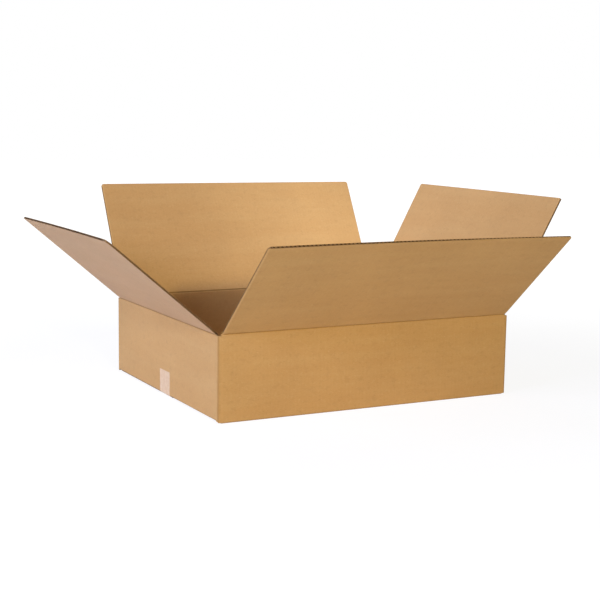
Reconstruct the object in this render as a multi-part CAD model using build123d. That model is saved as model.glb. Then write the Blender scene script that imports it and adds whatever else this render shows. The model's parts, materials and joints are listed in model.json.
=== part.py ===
from build123d import *

import os
from math import acos, atan, atan2, cos, radians, sin, tan

# An open, shallow corrugated cardboard box: one folded blank of single-wall board, its seam
# glued inside the back wall, its bottom flaps folded in and taped, its four top flaps standing
# open. Millimetres, +Z up. The origin is the centre of the underside, X runs along the long
# walls and the front wall faces -Y.

# The board, in section
board = 4.0  # thickness of the single-wall board
liner = 0.4  # each of its two facings
medium = 0.4  # the waved sheet between them
flute_pitch = 7.6  # one full wave
flute_crest = 1.6  # flat of each crest that is glued to a facing
flute_depth = 14.0  # how far the flutes are hollow, in from a flap's free edge

# The box
inside_length = 609.6  # 24 in, between the end walls
inside_width = 508.0  # 20 in, between the front and back walls
score_depth = 152.4  # 6 in, from bottom score to top score on the end walls
layer_gap = 0.3  # between two layers of folded flaps
seam_gap = 1.6  # between the free edges of the two long flaps when they are closed
slot_width = 9.5  # cut between neighbouring flaps, centred on the vertical corner
slot_overrun = 1.6  # how far a top slot runs past the end wall's score
corner_foot = 2.0  # height above the floor at which the board of each corner ends

# The scores
long_score_inset = 2.6  # hinge line of a long flap, in from the board's outer face
end_score_inset = 0.8  # the same for an end flap, which folds first and lies underneath
bead_radius = 0.6  # the pressed bead of paper that the flap turns on
bead_clearance = 0.3  # between the bead and the crest of the wall
open_limit = 125.0  # degrees that a flap opens from upright, its free edge just off the floor
closed_limit = 90.0  # degrees that it closes from upright
crease_margin = 4.0  # degrees left between flap and wall at each limit
edge_play = 0.3  # a flap that turns is this much shorter than its score at each end

# How far each flap stands open, in degrees outwards from upright
front_opening = 48.9
back_opening = 28.4
left_opening = 50.1
right_opening = 29.0

# Folds, corners and cut edges
corner_radius = 4.0  # outside of the vertical folds
bottom_fold_radius = 3.0  # outside of the bottom folds
inner_fold_radius = 0.8  # inside of every fold
free_corner_radius = 4.0  # blunted corners of the top flaps
edge_groove = 1.0  # how deep the crushed flute shows along a flap's side edge
score_land = 9.0  # board pressed flat beside a score, where that groove stops

# The glued seam
tab_width = 35.0  # glue tab, inside the back wall
tab_taper = 12.0  # degrees that its ends are cut back
tab_relief = 5.0  # the tab is this much shorter than the wall at each end
tab_shoulder = 3.0  # it keeps the wall's height this far in from its fold
seam_setback = 1.0  # the back wall's cut edge stops this short of the corner

# The tape along the bottom seam
tape_width = 50.0
tape_thickness = 0.06
tape_rise = 50.0  # how high it is carried up each end wall

# Sizes that follow
outer_length = inside_length + 2 * board
outer_width = inside_width + 2 * board
half_length = outer_length / 2
half_width = outer_width / 2

score_offset = board + layer_gap - (long_score_inset - end_score_inset)
end_floor = board + layer_gap  # outer face of the end walls' bottom flaps, above the floor
end_crease = end_floor + end_score_inset + score_depth
long_crease = end_crease + score_offset
slot_end = end_crease - slot_overrun

long_flap = half_width - seam_gap / 2 - long_score_inset
end_flap = long_flap + score_offset
long_half = half_length - board / 2 - slot_width / 2
end_half = half_width - board / 2 - slot_width / 2
glued_half = end_half - board  # the right wall folds in behind the back wall, one board short

outer_relief_angle = (180 - open_limit - crease_margin) / 2
inner_relief_angle = (180 - closed_limit - crease_margin) / 2


class Side:
    """One side of the box, drawn as if it were the front and then turned about Z."""

    def __init__(self, turn, reach, start, end, inset, crease, flap, floor, opening):
        self.turn = turn  # degrees about Z from the front
        self.reach = reach  # from the middle of the box to the wall's outer face
        self.start, self.end = start, end  # the panel between its two slots, along the wall
        self.inset = inset  # hinge line in from the outer face
        self.crease = crease  # hinge line above the floor
        self.flap = flap  # hinge line to free edge
        self.floor = floor  # underside of the bottom flap
        self.opening = opening
        self.outer_relief = inset / tan(radians(outer_relief_angle))
        self.inner_relief = (board - inset) / tan(radians(inner_relief_angle))


front = Side(0, half_width, -long_half, long_half,
             long_score_inset, long_crease, long_flap, 0, front_opening)
back = Side(180, half_width, -long_half, long_half,
            long_score_inset, long_crease, long_flap, 0, back_opening)
left = Side(-90, half_length, -end_half, end_half,
            end_score_inset, end_crease, end_flap, end_floor, left_opening)
right = Side(90, half_length, -end_half, glued_half,
             end_score_inset, end_crease, end_flap, end_floor, right_opening)


def corner(outline, x, y):
    """The corner of an outline that lies at a point."""
    return outline.vertices().sort_by_distance((x, y, 0))[0]


def along_wall(section, start, end):
    """Draw a section out along X; its own x is depth inwards, its own y is height."""
    plane = Plane(origin=(start, 0, 0), x_dir=(0, 1, 0), z_dir=(1, 0, 0))
    return extrude(plane * section, amount=end - start, dir=(1, 0, 0))


def wall_and_bottom_flap(side):
    """The wall, its scored crest and the bottom flap folded in from its foot."""
    flap_reach = side.inset + side.flap
    outline = Polygon(
        (0, side.floor),
        (flap_reach, side.floor),
        (flap_reach, side.floor + board),
        (board, side.floor + board),
        (board, side.crease - side.inner_relief),
        (side.inset, side.crease),
        (0, side.crease - side.outer_relief),
        align=None,
    )
    outline = fillet(corner(outline, 0, side.floor), bottom_fold_radius)
    outline = fillet(corner(outline, board, side.floor + board), inner_fold_radius)
    cup = Pos(side.inset, side.crease) * Circle(bead_radius + bead_clearance)
    wall = along_wall(outline - cup, side.start, side.end)
    return Rot(0, 0, side.turn) * (Pos(0, -side.reach, 0) * wall)


def corner_columns():
    """The three folded corners, between the slots above and the floor below."""
    ring = RectangleRounded(outer_length, outer_width, corner_radius)
    ring -= RectangleRounded(inside_length, inside_width, inner_fold_radius)
    ring -= Rectangle(2 * long_half, outer_width + board)
    ring -= Rectangle(outer_length + board, 2 * end_half)
    ring -= Pos(half_length, half_width) * Rectangle(half_length, half_width)
    return Pos(0, 0, corner_foot) * extrude(ring, amount=slot_end - corner_foot, dir=(0, 0, 1))


def glued_corner():
    """The right wall's end, folded into the glue tab, and the back wall's cut end over it."""
    tab_face = half_width - board
    tab_end = half_length - board - tab_width
    outline = Polygon(
        (half_length, glued_half),
        (half_length, tab_face),
        (tab_end, tab_face),
        (tab_end, tab_face - board),
        (half_length - board, tab_face - board),
        (half_length - board, glued_half),
        align=None,
    )
    outline = fillet(corner(outline, half_length, tab_face), corner_radius)
    outline = fillet(corner(outline, half_length - board, tab_face - board), inner_fold_radius)
    folded = Pos(0, 0, corner_foot) * extrude(outline, amount=slot_end - corner_foot, dir=(0, 0, 1))

    root = half_length - board - tab_shoulder
    drop = (tab_width - tab_shoulder) * tan(radians(tab_taper))
    top = slot_end - tab_relief
    low = end_floor + board + tab_relief
    above = Polygon((root, top), (tab_end, top - drop), (tab_end, slot_end),
                    (root, slot_end), align=None)
    below = Polygon((root, low), (tab_end, low + drop), (tab_end, corner_foot),
                    (root, corner_foot), align=None)
    plane = Plane(origin=(0, tab_face, 0), x_dir=(1, 0, 0), z_dir=(0, -1, 0))
    folded -= extrude(plane * above, amount=board, dir=(0, -1, 0))
    folded -= extrude(plane * below, amount=board, dir=(0, -1, 0))

    cut_edge = half_length - seam_setback
    back_end = Box(cut_edge - long_half, board, slot_end - corner_foot, align=Align.MIN)
    return folded + Pos(long_half, tab_face, corner_foot) * back_end


def tape_bed():
    """Outline of the board under the tape, in X and Z, with the tape pressed flush into it."""
    wall = half_length - tape_thickness
    centre = Vector(half_length - bottom_fold_radius, end_floor + bottom_fold_radius)
    radius = bottom_fold_radius - tape_thickness
    edge = Vector(long_half, tape_thickness)
    to_edge = edge - centre
    # The tape leaves the end wall's fold along a straight run to the long flaps' edge below.
    last = atan2(to_edge.Y, to_edge.X) + acos(radius / to_edge.length)
    bend = [(centre.X + radius * cos(last * k / 2), centre.Y + radius * sin(last * k / 2))
            for k in range(3)]
    side = [(wall, tape_rise), *bend, (edge.X, edge.Y)]
    mirrored = [(-x, z) for x, z in reversed(side)]
    return Polygon(*side, *mirrored, align=None)


def band(section, width):
    """Draw a section in X and Z out along Y, centred."""
    return extrude(Plane.XZ * section, amount=width / 2, both=True)


def tape():
    bed = tape_bed()
    skin = offset(bed, tape_thickness, kind=Kind.INTERSECTION) - bed
    reach = Pos(0, tape_rise / 2) * Rectangle(outer_length + board, tape_rise)
    return band(skin & reach, tape_width)


def pressed_bed():
    """What the tape presses out of the board, so that it lies flush with the faces round it."""
    reach = Pos(0, tape_rise / 2) * Rectangle(outer_length + board, tape_rise)
    return band(reach - tape_bed(), tape_width)


def box_body():
    body = wall_and_bottom_flap(front)
    for side in (back, left, right):
        body += wall_and_bottom_flap(side)
    body += corner_columns()
    body += glued_corner()
    return body - pressed_bed()


def flute_sections(side):
    """The open hollows of the board at a flap's free edge, alternately against each facing."""
    rise = board - 2 * liner
    slope_run = flute_pitch / 2 - flute_crest
    slope = atan(rise / slope_run)
    base = flute_pitch / 2 - flute_crest / 2 - medium / (2 * sin(slope))
    crest = base - (rise - medium) / tan(slope)
    outer = liner - side.inset
    inner = board - liner - side.inset
    land = free_corner_radius + base
    step = flute_pitch / 2
    count = int((side.end - side.start - 2 * land) / step) + 1
    first = (side.start + side.end - (count - 1) * step) / 2
    hollows = []
    for k in range(count):
        x = first + k * step
        near, far = (outer, inner - medium) if k % 2 else (inner, outer + medium)
        hollows.append(Polygon((x - base, near), (x + base, near),
                               (x + crest, far), (x - crest, far), align=None))
    return Sketch() + hollows


def flap(side):
    """A top flap, drawn upright on its hinge line, then tilted open and put on its side."""
    outline = Polygon(
        (0, 0),
        (board - side.inset, side.inner_relief),
        (board - side.inset, side.flap),
        (-side.inset, side.flap),
        (-side.inset, side.outer_relief),
        align=None,
    )
    start, end = side.start + edge_play, side.end - edge_play
    panel = along_wall(outline + Circle(bead_radius), start, end)
    free_corners = panel.edges().filter_by(Axis.Y).group_by(Axis.Z)[-1]
    panel = fillet(free_corners, free_corner_radius)

    hollows = Pos(0, 0, side.flap - flute_depth) * flute_sections(side)
    panel -= extrude(hollows, amount=flute_depth, dir=(0, 0, 1))

    groove_top = side.flap - free_corner_radius
    groove = Box(edge_groove, board - 2 * liner, groove_top - score_land,
                 align=(Align.CENTER, Align.MIN, Align.MIN))
    for x in (start + edge_groove / 2, end - edge_groove / 2):
        panel -= Pos(x, liner - side.inset, score_land) * groove

    hinge = Pos(0, side.inset - side.reach, side.crease)
    return Rot(0, 0, side.turn) * (hinge * (Rot(side.opening, 0, 0) * panel))


pieces = {
    "box_body": box_body(),
    "flap_front": flap(front),
    "flap_back": flap(back),
    "flap_left": flap(left),
    "flap_right": flap(right),
    "bottom_tape": tape(),
}

os.makedirs("parts", exist_ok=True)
for name, piece in pieces.items():
    piece.label = name
    export_step(piece, f"parts/{name}.step")
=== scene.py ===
import json
import math

import bmesh
import bpy
from mathutils import Matrix, Vector
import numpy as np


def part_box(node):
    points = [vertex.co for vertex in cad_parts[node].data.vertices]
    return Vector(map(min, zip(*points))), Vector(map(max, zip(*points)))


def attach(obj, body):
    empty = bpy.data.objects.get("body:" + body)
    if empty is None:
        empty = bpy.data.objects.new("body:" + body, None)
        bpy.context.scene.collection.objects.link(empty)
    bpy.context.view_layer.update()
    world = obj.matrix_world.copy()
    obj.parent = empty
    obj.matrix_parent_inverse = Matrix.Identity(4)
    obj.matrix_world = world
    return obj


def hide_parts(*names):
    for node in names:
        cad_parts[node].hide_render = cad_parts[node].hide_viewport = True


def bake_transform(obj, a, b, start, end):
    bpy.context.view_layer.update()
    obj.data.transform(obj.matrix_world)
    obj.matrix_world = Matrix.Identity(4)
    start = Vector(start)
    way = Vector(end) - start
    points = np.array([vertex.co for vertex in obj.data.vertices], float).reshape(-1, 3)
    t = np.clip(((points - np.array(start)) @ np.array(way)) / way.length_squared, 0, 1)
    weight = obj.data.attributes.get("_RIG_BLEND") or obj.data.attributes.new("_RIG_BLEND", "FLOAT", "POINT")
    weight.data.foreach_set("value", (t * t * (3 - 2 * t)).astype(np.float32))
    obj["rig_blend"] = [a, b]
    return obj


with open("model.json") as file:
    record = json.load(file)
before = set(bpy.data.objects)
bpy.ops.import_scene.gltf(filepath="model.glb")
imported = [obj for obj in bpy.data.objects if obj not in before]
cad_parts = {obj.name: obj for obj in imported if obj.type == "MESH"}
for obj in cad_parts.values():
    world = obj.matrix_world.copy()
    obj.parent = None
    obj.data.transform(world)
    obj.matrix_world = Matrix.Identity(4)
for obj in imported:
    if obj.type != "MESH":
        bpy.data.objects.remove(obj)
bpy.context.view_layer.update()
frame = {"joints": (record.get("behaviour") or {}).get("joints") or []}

# Walls and bottom. One blank of single-wall corrugated kraft board, slotted and scored by the
# converter, folded round into four walls, its end glued inside the back wall and its four
# bottom flaps folded in. The medium's flutes run up the walls, so the cut edges show them.
MM = 0.001  # all lengths here are in millimetres, and the finished meshes in metres
BOARD = 4.0  # thickness
LINER = 0.36  # each facing
MEDIUM = 0.30  # the waved sheet, measured upright
GLUE = 0.02  # between the waved sheet's crests and a facing
FLUTE = 7.6  # one wave
WASHBOARD = 0.015  # how far the facings follow the waves
LINER_STEP = FLUTE / 4  # how far apart the points lie along a facing
MEDIUM_STEP = FLUTE / 10  # and along the waved sheet

HALF_LENGTH, HALF_WIDTH = [round(side / MM, 1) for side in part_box("box_body")[1][:2]]
SCORES = {joint["name"]: [round(abs(p) / MM, 1) for p in joint["pos_m"]]
          for joint in frame["joints"]}  # the lines that the top flaps turn on
SLOT_HALF = 6.75  # from a corner to the edge of its slots
SLOT_END = 155.9  # the corners end here, between the slots
LONG_EDGE, END_EDGE = HALF_LENGTH - SLOT_HALF, HALF_WIDTH - SLOT_HALF
LONG_FOOT, END_FOOT = 1.4, 3.4  # feet of a corner strip, beside a long wall and an end wall
JOIN = 148.0  # the walls' sheets pass into those of the top flaps at this height
CORNER_RADIUS = 1.6
INNER_RADIUS = 0.8
FOLD_RADIUS = 2.2
CORNER_STEPS, FOLD_STEPS = 6, 4  # how many facets go round a corner and a bottom score

# Rows of points of a wall: back from its bottom flap's free edge, in from its outer face, up from
# its bottom flap, and up from the floor.
FREE_EDGE_ROWS = (0.0, 1.5, 5.0)
BOTTOM_ROWS = (130.0, 11.0)
FOOT_ROWS = (4.0, 9.0)
WALL_ROWS = (75.0, JOIN)
FOLD_ROW = len(FREE_EDGE_ROWS + BOTTOM_ROWS)  # the row that the bottom score begins at

# A knife closes the board up a little at a side edge, and more so where it leaves it pale.
PINCH, PINCH_DARK, PINCH_WIDTH = 0.65, 0.35, 3.0
CRUSH_AND_SHADE_WIDTH = 1.6  # the edge that it crushes dark, with painted shade of its open flutes
RUBBED, RUBBED_START, RUBBED_FADE = 0.6, 1.5, 2.0  # the paler rim beside that
PRESSED_AND_SHADED = -0.5  # wear below this is a dark line's, pressed fibres and painted shade, which stays dark out to its ends

# reach: from the box's middle to the wall's outer face. start, end: the side's board between its
# slots. inset, crease: where the top flap turns, in from the outer face and up. floor: how high
# the bottom flap lies, as the end walls' flaps lie on those of the long walls.
LONG = {"reach": HALF_WIDTH, "start": -LONG_EDGE, "end": LONG_EDGE, "floor": 0.0,
        "inset": round(HALF_WIDTH - SCORES["front_score"][1], 1), "crease": SCORES["front_score"][2]}
END = {"reach": HALF_LENGTH, "start": -END_EDGE, "end": END_EDGE, "floor": 4.3,
       "inset": round(HALF_LENGTH - SCORES["left_score"][0], 1), "crease": SCORES["left_score"][2]}

# turn: from the front wall to this one, in degrees. flap: how far its flaps reach from their
# scores. opening: how far the top flap has turned out of the wall's plane, in degrees. warp:
# degrees more at its start, middle and end, as the board has sprung. flare: how far each of its
# sides runs outwards, by the score and by the free edge. knife: how dark the two cut
# side edges are, crushed and with painted shade of their open flutes, and rim the same for the
# two ends of the free edge, which is pressed the thinner where it is pale. corners: how far its
# free corners are blunted. score: half the width of the score's dark line, of pressed fibres
# and painted shade of its groove.
SIDES = {
    "front": {**LONG, "turn": 0, "flap": 254.7, "opening": 48.9, "warp": (-0.4, -0.85, -0.3),
              "flare": ((-2.0, 4.0), (1.2, 1.6)), "knife": (0.1, 1.0), "rim": (1.1, 0.25),
              "corners": (4.5, 4.5), "score": 2.6},
    "back": {**LONG, "turn": 180, "flap": 255.6, "opening": 28.4, "warp": (0.4, -0.1, -0.4),
             "flare": ((0.0, 1.5), (0.0, 1.5)), "knife": (0.8, 1.3), "rim": (1.0, 1.0),
             "corners": (4.5, 4.5), "score": 2.6},
    "left": {**END, "turn": -90, "flap": 261.6, "opening": 50.1, "warp": (-0.6, -0.7, -0.35),
             "flare": ((0.0, 4.0), (0.0, 0.5)), "knife": (0.8, 1.3), "rim": (1.0, 1.0),
             "corners": (2.0, 14.0), "score": 3.6},
    "right": {**END, "turn": 90, "flap": 257.6, "opening": 29.0, "warp": (0.7, 0.0, -0.5),
              "flare": ((0.0, 0.0), (0.0, 1.5)), "knife": (1.1, 0.8), "rim": (1.0, 1.0),
              "corners": (2.5, 4.5), "score": 2.6, "end": END_EDGE - BOARD},
}
# Each strip of the board has a number of its own, so that no two show the same flecks.
for number, side in enumerate(SIDES.values()):
    side["number"] = number * 1.7
CORNER_NUMBERS, TAB_NUMBER, BACK_END_NUMBER = (7.0, 8.0, 9.0), 10.0, 11.0


def between(a, b, share):
    return a + (b - a) * share


def ease(x):
    """From 0 to 1 with x, flat at both ends."""
    x = min(1.0, max(0.0, x))
    return x * x * (3 - 2 * x)


def steps(start, end, pitch):
    """Both ends, and each whole multiple of pitch that lies 0.3 of it or more inside them."""
    first = math.ceil(start / pitch + 0.3)
    last = math.floor(end / pitch - 0.3)
    return [start, *[k * pitch for k in range(first, last + 1)], end]


def columns_of(side, pitch):
    """Places across a side, closer together by its cut edges."""
    *rim, inmost = (0.0, 0.4, 0.9, 1.5, 2.3, 3.2)
    inner = steps(side["start"] + inmost, side["end"] - inmost, pitch)
    return [*[side["start"] + r for r in rim], *inner, *[side["end"] - r for r in reversed(rim)]]


def square_fold(outer, inner, count):
    """Outer and inner points of the board round a square fold. Unrounded, the outer face's corner
    would be at 0, 0."""
    points = []
    for k in range(count + 1):
        a = math.radians(90) * k / count
        back, up = 1 - math.sin(a), 1 - math.cos(a)
        points.append(((outer * back, outer * up), (BOARD + inner * back, BOARD + inner * up)))
    return points


def wall_section(side):
    """The board's outer and inner face from the bottom flap's free edge up the wall."""
    low, free_edge = side["floor"], side["inset"] + side["flap"]
    bottom = [*[free_edge - d for d in FREE_EDGE_ROWS], *BOTTOM_ROWS]
    rows = [((d, low), (d, low + BOARD)) for d in bottom]
    for (outer, z), (inner, upper) in square_fold(FOLD_RADIUS, INNER_RADIUS, FOLD_STEPS):
        rows.append(((outer, low + z), (inner, low + upper)))
    rows += [((0.0, z), (BOARD, z)) for z in [*[low + z for z in FOOT_ROWS], *WALL_ROWS]]
    return rows


def turn_side(side, x, depth, z):
    """From a side drawn as the front to where it stands."""
    turned = Matrix.Rotation(math.radians(side["turn"]), 3, "Z")
    return turned @ Vector((x, depth - side["reach"], z))


def run_lengths(rows):
    """How far along the sheet each row of a section lies."""
    lengths = [0.0]
    for (a, b), (c, d) in zip(rows, rows[1:]):
        lengths.append(lengths[-1] + (math.dist(a, c) + math.dist(b, d)) / 2)
    return lengths


def fresh_sheet():
    """An empty mesh whose points will hold their place on the flat blank, and their wear and
    painted shade.
    """
    bm = bmesh.new()
    bm.verts.layers.float_vector.new("sheet")
    bm.verts.layers.float.new("wear_and_shade")
    return bm


def lay_paper(bm, columns, rows, faces, place, marks, material_index=0):
    """One sheet of paper: a flat grid with a thickness, each point then put in its place.
    faces gives the sheet's two depths in the board, from its outer face, at a column.
    place gives a point's position, and marks its place on the flat blank and its wear, which
    below nothing is a dark line of pressed fibres and painted shade."""
    grid = bmesh.ops.create_grid(bm, x_segments=columns - 1, y_segments=rows - 1, size=0.5)["verts"]
    skin = list(dict.fromkeys(f for v in grid for f in v.link_faces))
    for v in grid:
        v.co = (round((v.co.x + 0.5) * (columns - 1)), round((v.co.y + 0.5) * (rows - 1)), 0)
    raised = bmesh.ops.extrude_face_region(bm, geom=skin, use_keep_orig=True)
    lifted = [g for g in raised["geom"] if isinstance(g, bmesh.types.BMVert)]
    bmesh.ops.translate(bm, verts=lifted, vec=(0, 0, 1))
    points = [*grid, *lifted]
    sheet, wear_and_shade = bm.verts.layers.float_vector["sheet"], bm.verts.layers.float["wear_and_shade"]
    for v in points:
        i, j, level = int(round(v.co.x)), int(round(v.co.y)), int(round(v.co.z))
        depth = faces(i)[level]
        v[sheet], v[wear_and_shade] = marks(i, j)
        v.co = place(i, j, depth)
    shell = list(dict.fromkeys(f for v in points for f in v.link_faces))
    bmesh.ops.recalc_face_normals(bm, faces=shell)
    for f in shell:
        f.material_index = material_index


def wave(s):
    return math.cos(2 * math.pi * s / FLUTE)


def outer_liner(s):
    sag = WASHBOARD * (1 - wave(s))
    return sag, LINER + sag


def inner_liner(s):
    sag = WASHBOARD * (1 + wave(s))
    return BOARD - LINER - sag, BOARD - sag


def medium(s):
    low, high = LINER + GLUE, BOARD - LINER - GLUE - MEDIUM
    depth = between(low, high, (1 - wave(s)) / 2)
    return depth, depth + MEDIUM


def lay_panel(bm, side, section, handled, fluted, offset=0.0, trim=None):
    """The three papers of one side's board between its slots. section gives the rows of outer and
    inner points at a place along the side. handled gives, for a row at a place, its wear, dark
    where it is pressed fibres and painted shade, how plainly the board's ends there are cut, and
    how far it is pressed together. fluted lists the rows between which the medium is seen, and
    offset is the run of the sheet below the first row.
    trim moves a point along the side, at its row."""
    every = list(range(len(section(0.0))))
    run = [offset + r for r in run_lengths(section(0.0))]
    papers = [(outer_liner, LINER_STEP, every, 0), (inner_liner, LINER_STEP, every, 0)]
    papers += [(medium, MEDIUM_STEP, picked, 1) for picked in fluted]
    for depths, pitch, picked, material_index in papers:
        columns = columns_of(side, pitch)
        sections = [section(s) for s in columns]
        margins = [min(s - side["start"], side["end"] - s) for s in columns]
        knife_shades = [side["knife"][0 if s < 0 else 1] for s in columns]

        def place(i, j, depth):
            s, row = columns[i], picked[j]
            (od, oz), (nd, nz) = sections[i][row]
            cut, pressed = handled(row, s)[1:]
            pinch = (PINCH - PINCH_DARK * knife_shades[i]) * (1 - ease(margins[i] / PINCH_WIDTH)) * cut
            share = between(depth / BOARD, 0.5, max(pinch, pressed))
            if trim:
                s = trim(side, s, row)
            return turn_side(side, s, between(od, nd, share), between(oz, nz, share))

        def marks(i, j):
            """A knife leaves the edge crushed and dark, with painted shade of its open flutes, and a
            paler rim beside it.
            """
            worn_and_shaded, cut = handled(picked[j], columns[i])[:2]
            whole = ease(margins[i] / CRUSH_AND_SHADE_WIDTH)
            rubbed = whole * (1 - ease((margins[i] - RUBBED_START) / RUBBED_FADE))
            if cut and worn_and_shaded > PRESSED_AND_SHADED:
                worn_and_shaded = cut * (RUBBED * rubbed - knife_shades[i] * (1 - whole))
            return (columns[i] * MM, run[picked[j]] * MM, side["number"]), worn_and_shaded

        lay_paper(bm, len(columns), len(picked), lambda i: depths(columns[i]), place, marks,
                  material_index)


# Rows of points of a strip that stands upright, as shares of its height.
UPRIGHT_ROWS = (0.0, 0.006, 0.015, 0.25, 0.5, 0.75, 0.985, 0.994, 1.0)
END_PALE = 0.5  # its cut ends
CREASE_WIDTH, CREASE_DARK, CREASE_SUNK = 1.2, 0.85, 0.25  # the line of its fold, sunk and darkened, pressed fibres and painted shade
BLANK_BELOW = 246.0  # about how much of the blank lies below the corners, for its grain


def lay_upright(bm, plan, heights, number, begin=0.0, fold=None):
    """The three papers of a strip that stands upright: a plan of outer and inner points, and the
    heights between which it stands, which may change along the plan. begin is the place of the
    plan's first point along the wall. fold is how far along the plan the score lies, which is
    sunk and darkened, with pressed fibres and painted shade."""
    def finer(step):
        fine, at = [plan[0]], [0.0]
        for (a, b), (c, d) in zip(plan, plan[1:]):
            length = (math.dist(a, c) + math.dist(b, d)) / 2
            count = max(1, math.ceil(length / step))
            for k in range(1, count + 1):
                fine.append((tuple(between(p, q, k / count) for p, q in zip(a, c)),
                             tuple(between(p, q, k / count) for p, q in zip(b, d))))
                at.append(at[-1] + length / count)
        return fine, at

    for depths, step, material_index in ((outer_liner, LINER_STEP, 0), (inner_liner, LINER_STEP, 0),
                                         (medium, MEDIUM_STEP, 1)):
        fine, at = finer(step)
        creased = [math.exp(-((a - fold) / CREASE_WIDTH) ** 2) if fold else 0.0 for a in at]

        def place(i, j, depth):
            (ox, oy), (nx, ny) = fine[i]
            share = between(depth / BOARD, 0.5, CREASE_SUNK * creased[i])
            x, y = between(ox, nx, share), between(oy, ny, share)
            low, high = heights(x, y)
            return Vector((x, y, between(low, high, UPRIGHT_ROWS[j])))

        def marks(i, j):
            z = between(*heights(*fine[i][0]), UPRIGHT_ROWS[j])
            worn_and_shaded = END_PALE if UPRIGHT_ROWS[j] in (0.0, 1.0) else -CREASE_DARK * creased[i]
            return ((begin + at[i]) * MM, (z + BLANK_BELOW) * MM, number), worn_and_shaded

        lay_paper(bm, len(fine), len(UPRIGHT_ROWS), lambda i: depths(begin + at[i]), place, marks,
                  material_index)


def fold_plan(corner, turn):
    """Plan of the board round a vertical fold, as outer and inner points. It is drawn as the front
    left corner, from the front wall's slots to the left wall's, and turned."""
    plan = [((SLOT_HALF, 0.0), (SLOT_HALF, BOARD)),
            *square_fold(CORNER_RADIUS, INNER_RADIUS, CORNER_STEPS),
            ((0.0, SLOT_HALF), (BOARD, SLOT_HALF))]
    spin = Matrix.Rotation(math.radians(turn), 2)
    return [tuple(tuple(spin @ Vector(p) + Vector(corner)) for p in pair) for pair in plan]


# The bottom score is darkened, pressed fibres and painted shade where its rounding turns down to the floor.
BOTTOM_SCORE_DARK, BOTTOM_EDGE_PALE, BOTTOM_CUT = 0.6, 0.2, 0.8


def wall_handling(row, s):
    """The bottom score is pressed and darkened with painted shade, and only the bottom flaps have
    cut side edges.
    """
    if FOLD_ROW < row < FOLD_ROW + FOLD_STEPS:
        return -BOTTOM_SCORE_DARK, 0.0, 0.0
    return (BOTTOM_EDGE_PALE if row == 0 else 0.0), (BOTTOM_CUT if row <= FOLD_ROW else 0.0), 0.0


walls = fresh_sheet()
for side in SIDES.values():
    join_row = len(wall_section(side)) - 1
    lay_panel(walls, side, lambda s: wall_section(side), wall_handling,
              [[0, FOLD_ROW - 1], [join_row - 1, join_row]])


def corner_heights(x, y):
    """The end walls' bottom score lies a board higher than that of the long walls."""
    across, along = HALF_LENGTH - abs(x), HALF_WIDTH - abs(y)
    share = along / (across + along + 0.001)  # a hair more, as both can be nothing
    return between(LONG_FOOT, END_FOOT, ease(share)), SLOT_END


folded_corners = (((-HALF_LENGTH, -HALF_WIDTH), 0), ((HALF_LENGTH, -HALF_WIDTH), 90),
                  ((-HALF_LENGTH, HALF_WIDTH), -90))
for (corner, turn), number in zip(folded_corners, CORNER_NUMBERS):
    plan = fold_plan(corner, turn)
    lay_upright(walls, plan, corner_heights, number, fold=run_lengths(plan)[-1] / 2)

# The glue tab goes on from the right wall, round the fourth corner and along the back wall's
# inside. The back wall's own end lies over it.
TAB_END = 269.8  # the tab's free edge, from the middle
TAB_ROOT = 301.8  # the tab keeps the wall's height out to here
TAB_STEP = 0.05  # and is cut back within this
TAB_RELIEF = 5.0
TAB_TAPER = 12.0  # degrees
CUT_EDGE = 307.8  # where the back wall's end was cut


def tab_heights(x, y):
    """The tab's ends are cut back and tapered, so that it clears the end flaps."""
    if x >= TAB_ROOT:
        return corner_heights(x, y)
    drop = (TAB_ROOT - x) * math.tan(math.radians(TAB_TAPER))
    return END["floor"] + BOARD + TAB_RELIEF + drop, SLOT_END - TAB_RELIEF - drop


tab_face = HALF_WIDTH - BOARD
right_end = SIDES["right"]["end"]
tab_plan = [((HALF_LENGTH, right_end), (HALF_LENGTH - BOARD, right_end))]
for (ox, oy), (nx, ny) in square_fold(CORNER_RADIUS, INNER_RADIUS, CORNER_STEPS):
    tab_plan.append(((HALF_LENGTH - oy, tab_face - ox), (HALF_LENGTH - ny, tab_face - nx)))
for x in (TAB_ROOT, TAB_ROOT - TAB_STEP, TAB_END):
    tab_plan.append(((x, tab_face), (x, tab_face - BOARD)))
lay_upright(walls, tab_plan, tab_heights, TAB_NUMBER)
back_end = [((x, HALF_WIDTH), (x, tab_face)) for x in (LONG_EDGE, CUT_EDGE)]
lay_upright(walls, back_end, corner_heights, BACK_END_NUMBER, LONG_EDGE)


def linear(code):
    """sRGB hex to the linear colour that a shader socket takes."""
    channels = [int(code[k:k + 2], 16) / 255 for k in (0, 2, 4)]
    return (*[c / 12.92 if c <= 0.04045 else ((c + 0.055) / 1.055) ** 2.4 for c in channels], 1.0)


def node(tree, kind, inputs=(), **settings):
    """Adds a node. inputs are pairs of a socket and its value, or the socket linked to it."""
    made = tree.nodes.new(kind)
    for name, value in settings.items():
        setattr(made, name, value)
    for socket, value in inputs:
        if isinstance(value, bpy.types.NodeSocket):
            tree.links.new(value, made.inputs[socket])
        else:
            made.inputs[socket].default_value = value
    return made


def cleared_tree(owner):
    """The node tree of a new material or world, with nothing in it."""
    owner.use_nodes = True
    owner.node_tree.nodes.clear()
    return owner.node_tree


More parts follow.
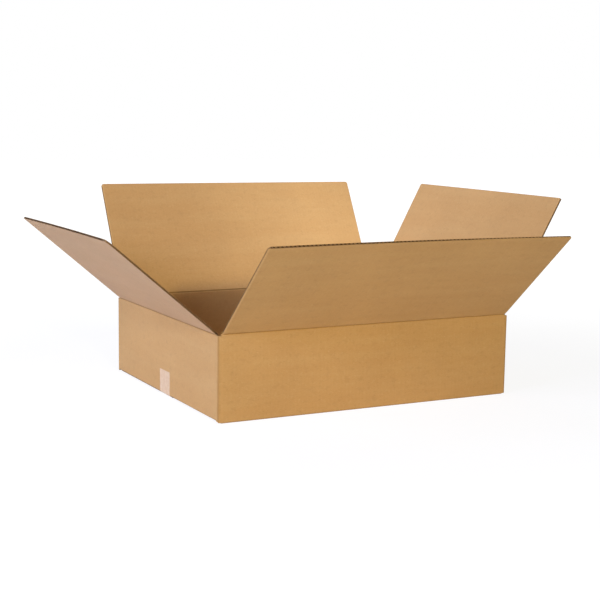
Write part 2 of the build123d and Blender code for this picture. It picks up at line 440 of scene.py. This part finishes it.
def paper(name, colour, dark, pale):
    """Unbleached kraft paper: brown fibres laid along the machine direction, which is across the
    flutes, a slightly cloudy tone, dark and pale flecks, fuzzy cut edges, and dark lines at
    scores, folds and cut edges, of pressed fibres and painted shade."""
    material = bpy.data.materials.new(name)
    tree = cleared_tree(material)
    blank = node(tree, "ShaderNodeAttribute", attribute_name="sheet").outputs["Vector"]
    worn_and_shaded = node(tree, "ShaderNodeAttribute", attribute_name="wear_and_shade").outputs["Fac"]
    colour, dark, pale = linear(colour), linear(dark), linear(pale)

    def patches(stretch, size, detail, low, high, seed):
        """A noise on the blank with features size millimetres wide, as the whole number of them
        that goes into a metre. It is cut to the range low to high."""
        place = node(tree, "ShaderNodeMapping", [("Vector", blank), ("Scale", stretch),
                                                 ("Location", (seed, seed, seed))])
        noise = node(tree, "ShaderNodeTexNoise", [
            ("Vector", place.outputs["Vector"]), ("Scale", round(1 / (size * MM))),
            ("Detail", detail), ("Roughness", 0.6)])
        return node(tree, "ShaderNodeMapRange", [("Value", noise.outputs["Fac"]), ("From Min", low),
                                                 ("From Max", high)]).outputs["Result"]

    def tint(under, over, amount, share):
        """Lays a colour over another. 6 and 7 are the colour sockets of the node that mixes them."""
        weight = node(tree, "ShaderNodeMath", [(0, amount), (1, share)], operation="MULTIPLY")
        mix = node(tree, "ShaderNodeMix", [("Factor", weight.outputs[0]), (6, under), (7, over)],
                   data_type="RGBA")
        return mix.outputs[2]

    # Clouds as wide as a hand, streaks along the paper, spots, and single fibres, dark and pale.
    # A real fibre is 3 mm long and 0.04 mm thick. Here it is 5 to 7 mm by 1 mm, so that it shows.
    tone = tint(colour, dark, patches((1, 1, 1), 143, 2, 0.35, 0.65, 3.0), 0.10)
    tone = tint(tone, pale, patches((0.3, 3, 1), 83.3, 3, 0.42, 0.7, 5.0), 0.10)
    tone = tint(tone, dark, patches((1, 1.4, 1), 14.3, 3, 0.52, 0.8, 9.0), 0.16)
    tone = tint(tone, pale, patches((1, 1, 1), 6.67, 4, 0.55, 0.8, 7.0), 0.20)
    tone = tint(tone, dark, patches((0.35, 2.2, 1), 2.38, 2, 0.60, 0.72, 11.0), 0.32)
    tone = tint(tone, pale, patches((0.4, 2.0, 1), 1.923, 2, 0.62, 0.74, 13.0), 0.40)

    # The flutes show through as faint lines where the medium is glued.
    split = node(tree, "ShaderNodeSeparateXYZ", [("Vector", blank)])
    angle = node(tree, "ShaderNodeMath", [(0, split.outputs["X"]), (1, 2 * math.pi / (FLUTE * MM))],
                 operation="MULTIPLY")
    glue = node(tree, "ShaderNodeMath", [(0, angle.outputs[0])], operation="COSINE")
    glue = node(tree, "ShaderNodeMapRange", [("Value", glue.outputs[0]), ("From Min", -1.0)])
    tone = tint(tone, dark, glue.outputs["Result"], 0.02)

    # Wear below nothing is pressed fibres and painted shade, dark; above it, pale fuzz of torn fibres.
    pressed = node(tree, "ShaderNodeMapRange", [("Value", worn_and_shaded), ("From Min", 0.0),
                                                ("From Max", -1.0)])
    tone = tint(tone, dark, pressed.outputs["Result"], 0.85)
    fuzz = node(tree, "ShaderNodeMath", [(0, worn_and_shaded), (1, patches((1, 1, 1), 2.5, 3, 0.3, 0.6, 17.0))],
                operation="MULTIPLY", use_clamp=True)
    tone = tint(tone, pale, fuzz.outputs[0], 0.8)

    # The fibres' grain, drawn as coarse as they are, in a matt, slightly downy surface.
    grain = patches((0.3, 1.6, 1), 1.429, 4, 0.2, 0.8, 19.0)
    bump = node(tree, "ShaderNodeBump", [("Height", grain), ("Strength", 0.4),
                                         ("Distance", 0.05 * MM)])
    rough = node(tree, "ShaderNodeMapRange", [("Value", grain), ("To Min", 0.72), ("To Max", 0.9)])
    shader = node(tree, "ShaderNodeBsdfPrincipled", [
        ("Base Color", tone), ("Roughness", rough.outputs["Result"]), ("IOR", 1.5),
        ("Specular IOR Level", 0.45), ("Sheen Weight", 0.12), ("Sheen Roughness", 0.5),
        ("Normal", bump.outputs["Normal"])])
    node(tree, "ShaderNodeOutputMaterial", [("Surface", shader.outputs["BSDF"])])
    return material


# Kraft linerboard: dull, warm brown, slightly cloudy, with fine dark and pale fibre flecks.
liner_kraft = paper("kraft_linerboard", "CB9D5D", "8A622A", "E2C388")
# Fluting medium: thinner, greyer paper of recycled fibre, seen only in the cut edges. Its deep
# # dark tint is painted shade of the open flutes as well as the paper's own tone.
fluting_paper = paper("fluting_medium", "8C6A3E", "4A331A", "B08C62")

CRISP = math.radians(38)  # the faces of a sheet that meet at more than this show an edge


def put_in_scene(bm, name, *materials):
    """The finished mesh as an object of the scene."""
    mesh = bpy.data.meshes.new(name)
    bm.to_mesh(mesh)
    bm.free()
    for material in materials:
        mesh.materials.append(material)
    made = bpy.data.objects.new(name, mesh)
    bpy.context.scene.collection.objects.link(made)
    return made


def finish_board(bm, name):
    """The mesh in metres, smooth inside its faces and crisp at the paper's cut edges."""
    for f in bm.faces:
        f.smooth = True
    for e in bm.edges:
        e.smooth = len(e.link_faces) == 2 and e.calc_face_angle(0) < CRISP
    bmesh.ops.scale(bm, verts=bm.verts, vec=(MM, MM, MM))
    piece = put_in_scene(bm, name, liner_kraft, fluting_paper)
    return piece


box_walls = finish_board(walls, "box_walls")
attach(box_walls, "box")
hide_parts("box_body")

# Top flaps. The same sheet goes on past the top score of each wall, which is a line rolled into
# the board that crushes its flutes. Each flap is folded out on it and holds where it was left,
# a little sprung, with its free corners blunted by handling.
BEND = 3.0  # board that bends, each side of the score
GROOVE = 2.3  # half the width of the line that is pressed into the board
OUTER_PRESS, INNER_PRESS = 1.5, 0.9  # how deep it is, from either face
BULGE, BULGE_DOWN, BULGE_WIDTH = 0.35, 4.2, 1.5  # how the wall's liner swells out below the line
SCORE_UP = 0.4  # the middle of the score's dark line, pressed fibres and painted shade of its groove, up from the crease
SCORE_TOP = 9.0  # above this a flap is handled as a sheet, and below it as a score
FLARE_START = 8.0  # how far up the flap its sides take to begin to flare
CUT = 0.7  # how plainly the knife shows on a flap's side edges
CUT_START, CUT_FADE = -6.0, 8.0  # where that begins, up from the crease, and over how much
EDGE_DARK, EDGE_WIDTH = 0.9, 0.5  # the free edge's dark line, crushed, with painted shade of its open flutes
EDGE_PRESS, EDGE_PRESS_WIDTH = 0.6, 4.0  # how far it is pressed together where it is pale
# How far from the crease the rows of points lie. The last ones stand back from the free edge.
SCORE_ROWS = (-8.0, -6.8, -5.8, -5.0, -4.3, -3.6, -3.0, -2.4, -1.9, -1.4, -1.0, -0.6, -0.3, 0.0,
              0.3, 0.6, 1.0, 1.4, 1.9, 2.4, 3.0, 3.6, 5.0, 8.0, 20.0, 50.0, 90.0, 130.0, 170.0, 210.0)
EDGE_ROWS = (16.0, 12.0, 9.0, 6.5, 4.5, 3.6, 2.8, 2.0, 1.3, 0.7, 0.3, 0.0)
# The rows at which the medium is drawn: below the score, which crushes it, above it, and back
# from the free edge.
MEDIUM_BELOW, MEDIUM_ABOVE, MEDIUM_EDGE = (-5.8, -4.3), 5.0, (16.0, 2.0, 0.0)


def flap_heights(side):
    return [JOIN - side["crease"], *SCORE_ROWS, *[side["flap"] - h for h in EDGE_ROWS]]


def flap_section(side, s):
    """The board from the join in the wall, over the crushed score and up the open flap."""
    u = (s - side["start"]) / (side["end"] - side["start"])
    first, middle, last = side["warp"]
    sprung = first * (1 - u) * (1 - 2 * u) + middle * 4 * u * (1 - u) + last * u * (2 * u - 1)
    rows = []
    for h in flap_heights(side):
        pressed = ease(1 - abs(h) / GROOVE)
        swell = BULGE * math.exp(-((h + BULGE_DOWN) / BULGE_WIDTH) ** 2)
        lean = math.radians(side["opening"] + sprung) * ease((h + BEND) / (2 * BEND))
        pair = []
        for d in (pressed * OUTER_PRESS - swell, BOARD - pressed * INNER_PRESS):
            x = d - side["inset"]
            pair.append((side["inset"] + x * math.cos(lean) - h * math.sin(lean),
                         side["crease"] + x * math.sin(lean) + h * math.cos(lean)))
        rows.append(tuple(pair))
    return rows


def trim_flap(side, s, row):
    """Flares a flap's sides and rounds its two free corners."""
    height = flap_heights(side)[row]
    middle, half = (side["start"] + side["end"]) / 2, (side["end"] - side["start"]) / 2
    share = (s - middle) / half
    at = 0 if share < 0 else 1
    low, high = side["flare"][at]
    flare = between(low, high, height / side["flap"]) * ease(height / FLARE_START) * abs(share)
    corner = side["corners"][at]
    over = max(0.0, height - side["flap"] + corner)
    cut = corner - math.sqrt(corner ** 2 - over ** 2)
    near = half - abs(s - middle)
    outwards = flare - cut * max(0.0, 1 - near / (2 * corner))
    return s + outwards * (-1 if share < 0 else 1)


def flap_handling(side, row, s):
    """Pressed and dark at the score, with painted shade of its groove, crushed and dark at the free
    edge, with painted shade of its open flutes, and with side edges that are cut all the way.
    """
    height = flap_heights(side)[row]
    if 0 < row and height < SCORE_TOP:
        score = ease(1 - abs(height - SCORE_UP) / side["score"])
        return -score, CUT * ease((height - CUT_START) / CUT_FADE), 0.0
    rim = between(*side["rim"], (s - side["start"]) / (side["end"] - side["start"]))
    from_edge = side["flap"] - height
    worn_and_shaded = -EDGE_DARK * rim if from_edge < EDGE_WIDTH else 0.0
    return worn_and_shaded, CUT, EDGE_PRESS * (1 - rim) * ease(1 - from_edge / EDGE_PRESS_WIDTH)


for name, side in SIDES.items():
    bm = fresh_sheet()
    heights = flap_heights(side)
    below = [heights[0], *MEDIUM_BELOW]
    above = [MEDIUM_ABOVE, *[side["flap"] - h for h in MEDIUM_EDGE]]
    lay_panel(bm, side, lambda s: flap_section(side, s), lambda row, s: flap_handling(side, row, s),
              [[heights.index(h) for h in picked] for picked in (below, above)],
              run_lengths(wall_section(side))[-1], trim_flap)
    piece = finish_board(bm, f"{name}_top_flap")
    lean = math.radians(side["opening"])
    start = turn_side(side, 0, side["inset"], side["crease"] - BEND) * MM
    end = turn_side(side, 0, side["inset"] - BEND * math.sin(lean),
                    side["crease"] + BEND * math.cos(lean)) * MM
    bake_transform(piece, "box", f"{name}_flap", start=start, end=end)
    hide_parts(f"flap_{name}")

# Bottom tape. One length of carton tape, clear film with a tan haze from its adhesive, pressed
# along the bottom seam and up both end walls, cut off with a toothed blade.
TAPE_WIDTH = 50.0
TAPE = 0.06  # thickness
TAPE_RISE = 50.0  # up each end wall
TAPE_ASIDE = -7.0  # laid a little off the seam by hand
TAPE_TURN = 48.0  # degrees that it goes round the end wall's fold, before it leaves it
TAPE_TURN_STEPS = 4
TAPE_LEVEL = 290.0  # from here in it lies level
TOOTH, TOOTH_DEPTH = 1.6, 0.45  # of the blade
TAPE_NUMBER = 20.0

tape_path = [(HALF_LENGTH, z) for z in (TAPE_RISE, TAPE_RISE - 1.2, TAPE_RISE - 4, 25.0, 10.0)]
for k in range(TAPE_TURN_STEPS + 1):
    a = math.radians(TAPE_TURN) * k / TAPE_TURN_STEPS
    tape_path.append((HALF_LENGTH - FOLD_RADIUS * (1 - math.cos(a)),
                      END["floor"] + FOLD_RADIUS * (1 - math.sin(a))))
tape_path += [(x, TAPE) for x in (LONG_EDGE, 250.0, 120.0)]
tape_path += [(-x, z) for x, z in reversed(tape_path)]
across = steps(-TAPE_WIDTH / 2, TAPE_WIDTH / 2, TOOTH / 2)
along = [0.0]
for a, b in zip(tape_path, tape_path[1:]):
    along.append(along[-1] + math.dist(a, b))


def place_tape(i, j, depth):
    """The path lies on the film's inner face, and the film's thickness outside it."""
    x, z = tape_path[j]
    before, after = tape_path[max(0, j - 1)], tape_path[min(len(tape_path) - 1, j + 1)]
    way = Vector((after[0] - before[0], after[1] - before[1])).normalized()
    out = Vector((-way.y, way.x)) if (-way.y) * x > 0 else Vector((way.y, -way.x))
    if abs(x) < TAPE_LEVEL:
        out = Vector((0, -1))
    tooth = TOOTH_DEPTH if j in (0, len(tape_path) - 1) and i % 2 else 0.0
    point = Vector((x, z - tooth)) + out * depth
    return Vector((point.x, TAPE_ASIDE + across[i], point.y))


def tape_film():
    """Polypropylene carton tape on kraft board: pale tan, smooth, with faint milky air specks."""
    material = bpy.data.materials.new("polypropylene_carton_tape")
    tree = cleared_tree(material)
    blank = node(tree, "ShaderNodeAttribute", attribute_name="sheet").outputs["Vector"]
    # Specks of air 7 mm wide. Real ones are about 1 mm, too fine to show.
    haze = node(tree, "ShaderNodeTexNoise", [("Vector", blank), ("Scale", round(1 / (7.14 * MM))),
                                             ("Detail", 4.0)])
    specks = node(tree, "ShaderNodeMapRange", [("Value", haze.outputs["Fac"]), ("From Min", 0.35),
                                               ("From Max", 0.7)])
    tone = node(tree, "ShaderNodeMix", [("Factor", specks.outputs["Result"]), (6, linear("D8B489")),
                                        (7, linear("E3C6A1"))], data_type="RGBA")
    shader = node(tree, "ShaderNodeBsdfPrincipled", [
        ("Base Color", tone.outputs[2]), ("Roughness", 0.35), ("IOR", 1.49)])
    node(tree, "ShaderNodeOutputMaterial", [("Surface", shader.outputs["BSDF"])])
    return material


bm = fresh_sheet()
lay_paper(bm, len(across), len(tape_path), lambda i: (0.0, TAPE), place_tape,
          lambda i, j: ((across[i] * MM, along[j] * MM, TAPE_NUMBER), 0.0))
bmesh.ops.scale(bm, verts=bm.verts, vec=(MM, MM, MM))
tape_strip = put_in_scene(bm, "bottom_tape_strip", tape_film())
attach(tape_strip, "box")
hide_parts("bottom_tape")

# The studio: a white floor that fades into the white backdrop and keeps a faint shadow, warm
# light from low in front, cool light from the left, a little from above and behind, and a small
# gridded lamp over the back flap. Lengths are in metres here, and power in watts.
FLOOR_HALF = 12.0
FLOOR_DOWN = 0.0002  # the floor lies a hair under the box
FADE_START, FADE_END = 0.7, 2.2  # how far from the box's middle the floor fades into the backdrop
FLOOR_GLOW = 1.12  # brings the floor, as the camera sees it, to the backdrop's white
WORLD_FILL = 0.02  # the backdrop's light on the object


def seen_directly(tree):
    """1 for a ray from the camera, or on its way by a gloss or a clear piece, and 0 for light that
    falls on the object."""
    rays = node(tree, "ShaderNodeLightPath")
    seen = rays.outputs["Is Camera Ray"]
    for kind in ("Is Glossy Ray", "Is Transmission Ray"):
        seen = node(tree, "ShaderNodeMath", [(0, seen), (1, rays.outputs[kind])],
                    operation="MAXIMUM").outputs[0]
    return seen


def seamless_paper():
    """White seamless paper: matt, and as bright as the backdrop to the camera, but for a share
    near the box, where the shadow shows."""
    material = bpy.data.materials.new("white_seamless_paper")
    tree = cleared_tree(material)
    place = node(tree, "ShaderNodeTexCoord")
    away = node(tree, "ShaderNodeVectorMath", [(0, place.outputs["Object"])], operation="LENGTH")
    fade = node(tree, "ShaderNodeMapRange", [
        ("Value", away.outputs["Value"]), ("From Min", FADE_START), ("From Max", FADE_END),
        ("To Min", 0.80), ("To Max", 1.0)])
    share = node(tree, "ShaderNodeMath", [(0, seen_directly(tree)), (1, fade.outputs["Result"])],
                 operation="MULTIPLY")
    matt = node(tree, "ShaderNodeBsdfDiffuse", [("Color", linear("F4F4F4"))])
    glow = node(tree, "ShaderNodeEmission", [("Color", (1, 1, 1, 1)), ("Strength", FLOOR_GLOW)])
    both = node(tree, "ShaderNodeMixShader", [(0, share.outputs[0]), (1, matt.outputs[0]),
                                              (2, glow.outputs[0])])
    node(tree, "ShaderNodeOutputMaterial", [("Surface", both.outputs[0])])
    return material


bm = bmesh.new()
bmesh.ops.create_grid(bm, x_segments=1, y_segments=1, size=FLOOR_HALF)
bmesh.ops.translate(bm, verts=bm.verts, vec=(0, 0, -FLOOR_DOWN))
put_in_scene(bm, "studio_floor", seamless_paper())

world = bpy.data.worlds.new("studio_world")
bpy.context.scene.world = world
tree = cleared_tree(world)
strength = node(tree, "ShaderNodeMapRange", [("Value", seen_directly(tree)), ("To Min", WORLD_FILL),
                                             ("To Max", 1.0)])
sky = node(tree, "ShaderNodeBackground", [("Color", (1, 1, 1, 1)),
                                          ("Strength", strength.outputs["Result"])])
node(tree, "ShaderNodeOutputWorld", [("Surface", sky.outputs[0])])


def lamp(name, place, aim, size, power, colour, spread=180):
    """A soft box: a square area lamp turned to what it lights."""
    light = bpy.data.lights.new(name, "AREA")
    light.shape, light.size, light.energy, light.color = "SQUARE", size, power, linear(colour)[:3]
    light.spread = math.radians(spread)
    made = bpy.data.objects.new(name, light)
    bpy.context.scene.collection.objects.link(made)
    made.location = place
    made.rotation_euler = (Vector(aim) - Vector(place)).to_track_quat("-Z", "Y").to_euler()


lamp("left_cool_softbox", (-4.5, -1.5, 1.9), (-0.15, 0.0, 0.15), 1.5, 185.5, "C1C8FF")
lamp("left_high_softbox", (-2.719, 0.0, 1.618), (0, 0, 0.15), 1.6, 24.5, "F3FFFC")
lamp("front_key_lamp", (-1.0, -4.5, 1.25), (0, 0, 0.15), 0.2, 82.5, "FFF4CC")
lamp("front_right_lamp", (0.5, -4.5, 1.4), (0, 0, 0.15), 0.15, 15.6, "FFF4CC")
lamp("overhead_lamp", (0.0, 0.2, 1.4), (0.0, 0.06, 0.15), 0.8, 4.0, "DCDAFF")
lamp("back_flap_gridded_lamp", (0.3, -1.2, 1.8), (0.25, 0.32, 0.28), 0.3, 0.5, "D9E5FF", 22)
lamp("rear_fill_softbox", (2.6, 2.8, 0.45), (0.2, 0.2, 0.2), 1.5, 35, "FFFFFF")

# The camera stands where the photo's did, in front and to the left, and looks a little down.
HEADING, DOWN, ROLL = -27.610, 8.179, 0.814  # degrees
camera = bpy.data.cameras.new("photo_camera")
camera.sensor_width = 36.0
camera.lens = 76.03
tripod = bpy.data.objects.new("photo_camera", camera)
bpy.context.scene.collection.objects.link(tripod)
tripod.location = (-1.18652, -2.24074, 0.53274)
turn = (Matrix.Rotation(math.radians(HEADING), 3, "Z")
        @ Matrix.Rotation(math.radians(90 - DOWN), 3, "X")
        @ Matrix.Rotation(math.radians(ROLL), 3, "Z"))
tripod.rotation_euler = turn.to_euler()
bpy.context.scene.camera = tripod
bpy.context.scene.view_settings.view_transform = "Standard"
